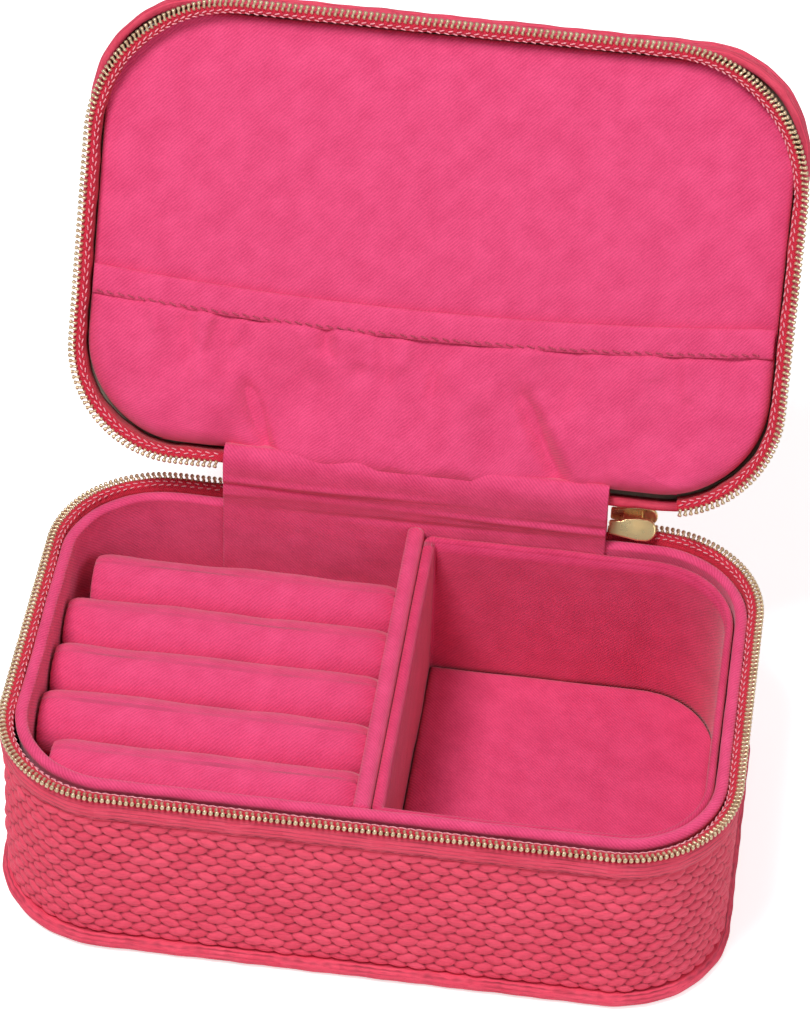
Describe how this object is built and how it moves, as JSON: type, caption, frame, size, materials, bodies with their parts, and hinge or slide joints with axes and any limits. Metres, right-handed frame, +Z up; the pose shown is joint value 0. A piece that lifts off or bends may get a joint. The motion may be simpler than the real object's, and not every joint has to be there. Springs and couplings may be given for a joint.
{
  "type": "zip-around jewelry box",
  "caption": "Rectangular zip-around jewelry box with a hinged lid, gathered lid pocket, ring rolls, divider and an open compartment.",
  "frame": {"origin": "centre of the base's underside, on the surface that the box stands on", "axes": "+X to the right along the box's width, +Y to the hinge at the back, +Z up"},
  "size_m": [0.16, 0.1589, 0.1485],
  "materials": {
    "raffia": "matte",
    "twill_lining": "matte",
    "zip_tape": "matte",
    "zip_teeth": "gloss",
    "slider_metal": "polished",
    "greyboard": "matte",
    "foam": "matte",
    "elastic": "matte"
  },
  "bodies": {
    "base": {"base_bottom_cover": "raffia", "base_bottom_board": "greyboard", "base_welt": "raffia", "base_wall_cover": "raffia", "base_wall_board": "greyboard", "base_hem": "raffia", "base_zip_tape": "zip_tape", "base_zip_coil": "zip_teeth", "base_liner_hoop": "twill_lining", "divider_panel": "twill_lining", "compartment_insert": "twill_lining", "compartment_floor_pad": "twill_lining", "ring_riser_block": "foam", "ring_tray_board": "greyboard", "ring_roll_1": "twill_lining", "ring_roll_2": "twill_lining", "ring_roll_3": "twill_lining", "ring_roll_4": "twill_lining", "ring_roll_5": "twill_lining", "hinge_cover": "raffia", "hinge_lining": "twill_lining"},
    "lid": {"lid_top_cover": "raffia", "lid_top_padding": "foam", "lid_top_board": "greyboard", "lid_welt": "raffia", "lid_wall_cover": "raffia", "lid_wall_board": "greyboard", "lid_hem": "raffia", "lid_zip_tape": "zip_tape", "lid_zip_coil": "zip_teeth", "lid_spacer_hoop": "greyboard", "lid_lining_panel": "twill_lining", "pocket_panel": "twill_lining", "pocket_hem": "twill_lining", "pocket_elastic": "elastic"},
    "slider": {"zip_slider_body": "slider_metal", "zip_slider_bail": "slider_metal"},
    "pull": {"zip_pull_tab": "slider_metal"}
  },
  "joints": [
    {"name": "lid_hinge", "type": "hinge", "parent": "base", "child": "lid", "pos_m": [0, 0.0503, 0.0549], "axis": [1, 0, 0], "range_deg": [0, 119], "deforming": ["hinge_cover", "hinge_lining"]},
    {"name": "slider_slide", "type": "slide", "parent": "base", "child": "slider", "axis": [1, 0, 0], "range_m": [0, 0.004]},
    {"name": "pull_hinge", "type": "hinge", "parent": "slider", "child": "pull", "pos_m": [0.0484, 0.0558, 0.0466], "axis": [1, 0, 0], "range_deg": [-10, 140]}
  ]
}
